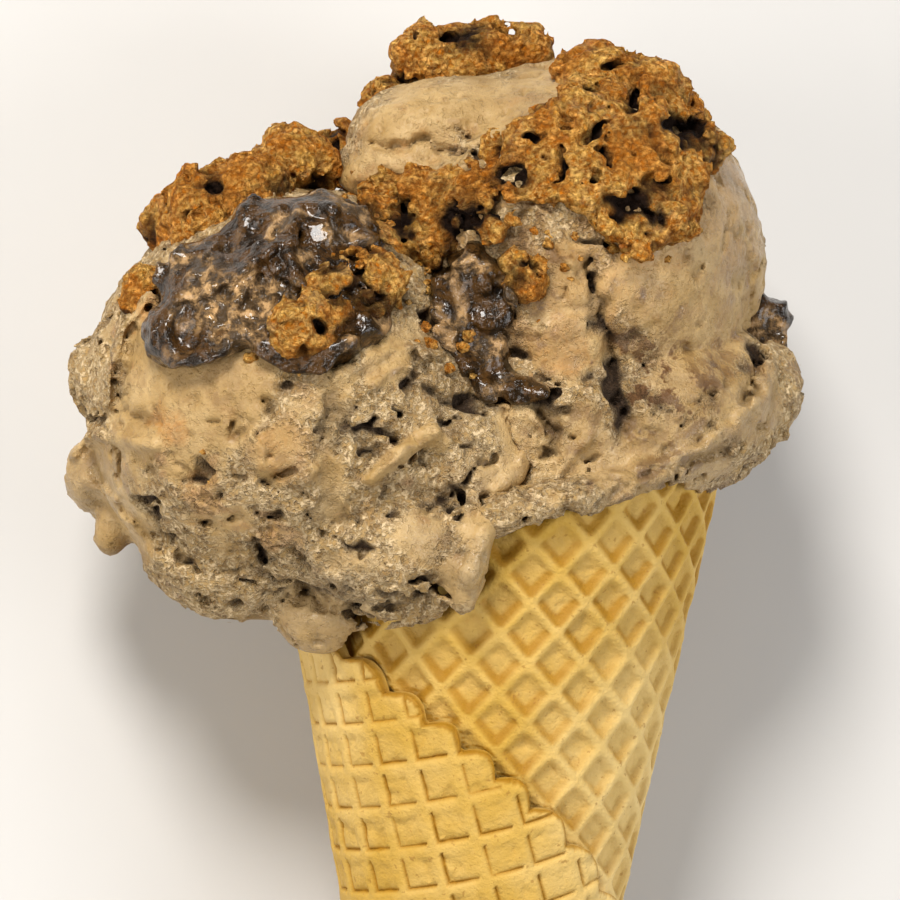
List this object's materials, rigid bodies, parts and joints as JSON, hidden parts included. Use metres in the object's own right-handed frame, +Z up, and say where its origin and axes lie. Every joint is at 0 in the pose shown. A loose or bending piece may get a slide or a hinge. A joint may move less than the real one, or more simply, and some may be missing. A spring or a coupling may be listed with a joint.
{
  "type": "ice cream cone",
  "caption": "Rolled waffle cone with pressed scoops of mocha ice cream, fudge sauce and sponge cake pieces, lying on its back as a prop for desserts and food displays.",
  "frame": {"origin": "on the surface the cone lies on, under the middle of its bounding box", "axes": "+Z up out of the shown side, +Y from the cone's tip towards the scoops, +X to the right as the picture shows it"},
  "size_m": [0.1018, 0.2138, 0.0776],
  "materials": {
    "wafer": "baked matt wafer, golden with browner cell walls",
    "ice_cream": "soft satin mocha ice cream, rough where it was scooped",
    "fudge": "glossy dark fudge sauce",
    "cake": "dry porous sponge cake crumb"
  },
  "bodies": {
    "root": {"cone": "wafer", "scoop_left": "ice_cream", "scoop_right": "ice_cream", "fudge_left": "fudge", "fudge_middle": "fudge", "fudge_right": "fudge", "cake_top": "cake", "cake_top_small": "cake", "cake_crust": "cake", "cake_left": "cake", "cake_strip": "cake", "cake_middle": "cake", "cake_front": "cake", "cake_side": "cake"}
  },
  "joints": []
}
